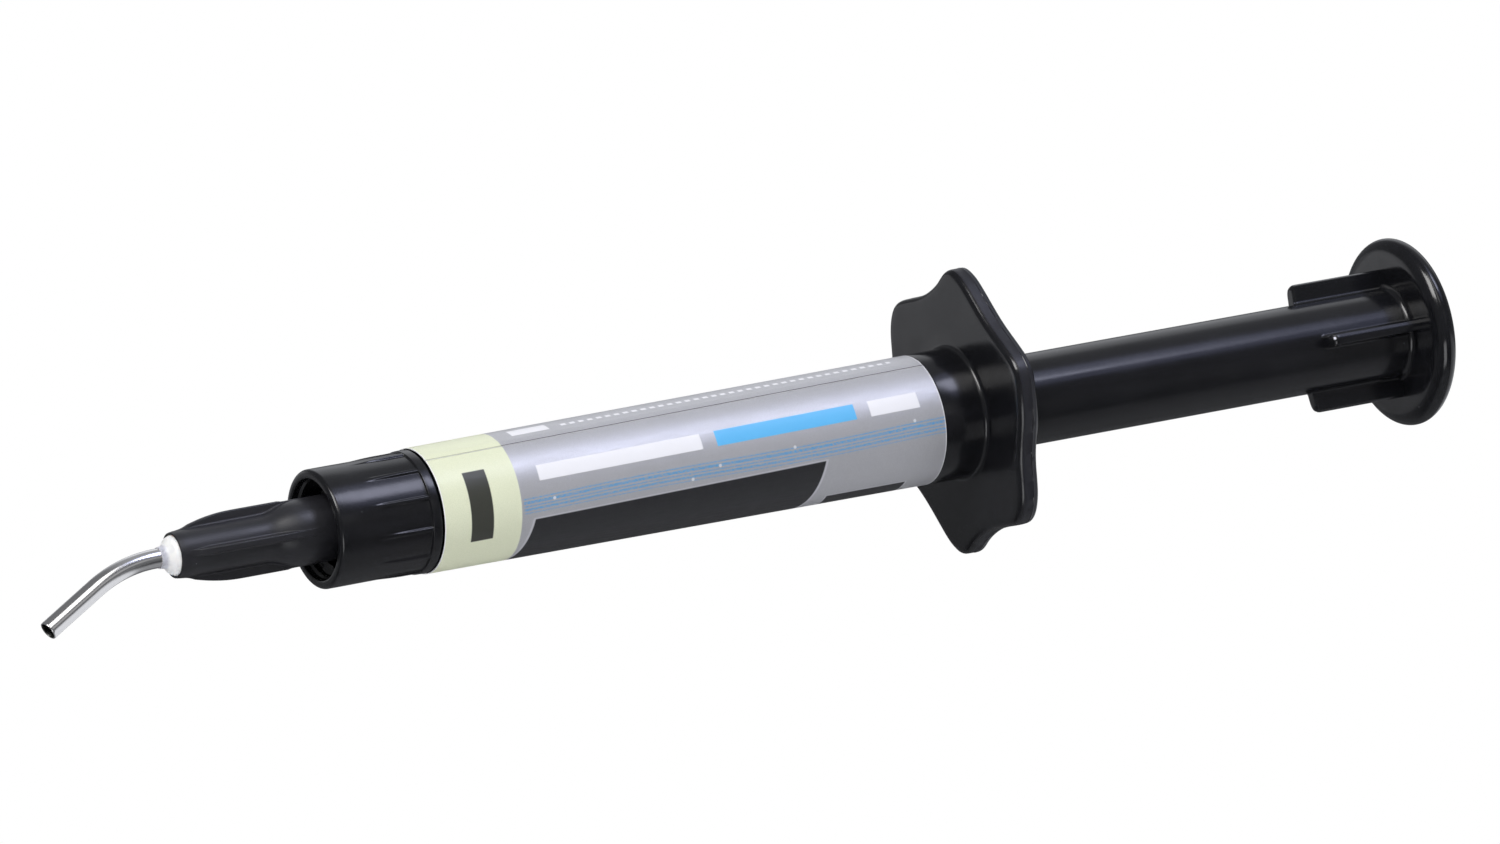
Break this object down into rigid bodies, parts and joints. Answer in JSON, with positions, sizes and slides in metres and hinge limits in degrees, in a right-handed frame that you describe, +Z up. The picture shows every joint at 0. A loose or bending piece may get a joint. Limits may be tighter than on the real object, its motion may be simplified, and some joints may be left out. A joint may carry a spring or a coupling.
{
  "type": "dental paste syringe",
  "caption": "Black plastic paste syringe with a luer-lock bent metal dispensing tip, two-lobed finger flange, label sleeve and round-thumb plunger that pushes a rubber gasket.",
  "frame": {"origin": "centre of the thumb disc's flat rear face, on the syringe axis", "axes": "+X along the syringe axis from the needle tip to the thumb disc, +Z up; the bent tip points down towards -Z"},
  "size_m": [0.1344, 0.0234, 0.024],
  "materials": {
    "barrel_plastic": "glossy moulded black, light-tight",
    "label_film": "metallic silver printed label film",
    "collar_plastic": "glossy moulded black",
    "hub_plastic": "satin moulded black",
    "insert_plastic": "translucent white",
    "cannula_steel": "bright drawn tube",
    "gasket_rubber": "matte",
    "carrier_plastic": "satin",
    "rod_plastic": "glossy moulded black",
    "ring_rubber": "matte"
  },
  "bodies": {
    "barrel": {"barrel": "barrel_plastic", "label_wrap": "label_film"},
    "lock_collar": {"lock_collar": "collar_plastic"},
    "needle_hub": {"needle_hub": "hub_plastic"},
    "needle_tube": {"needle_insert": "insert_plastic", "cannula": "cannula_steel"},
    "piston": {"gasket": "gasket_rubber"},
    "plunger": {"plunger_rod": "rod_plastic", "gasket_carrier": "carrier_plastic", "plunger_o_ring": "ring_rubber"}
  },
  "joints": [
    {"name": "collar_turn", "type": "hinge", "parent": "barrel", "child": "lock_collar", "pos_m": [-0.09915, 0, 0], "axis": [1, 0, 0], "range_deg": [0, 360]},
    {"name": "hub_draw", "type": "slide", "parent": "barrel", "child": "needle_hub", "axis": [-1, 0, 0], "range_m": [0, 0.00499]},
    {"name": "tip_aim", "type": "hinge", "parent": "needle_hub", "child": "needle_tube", "pos_m": [-0.1217, 0, 0], "axis": [1, 0, 0], "continuous": true},
    {"name": "plunger_stroke", "type": "slide", "parent": "barrel", "child": "piston", "axis": [-1, 0, 0], "range_m": [0, 0.0292]},
    {"name": "plunger_spin", "type": "hinge", "parent": "piston", "child": "plunger", "pos_m": [0, 0, 0], "axis": [1, 0, 0], "continuous": true}
  ],
  "couplings": [
    {"joint": "collar_turn", "follows": "hub_draw", "rad_per_m": 1256.6}
  ]
}
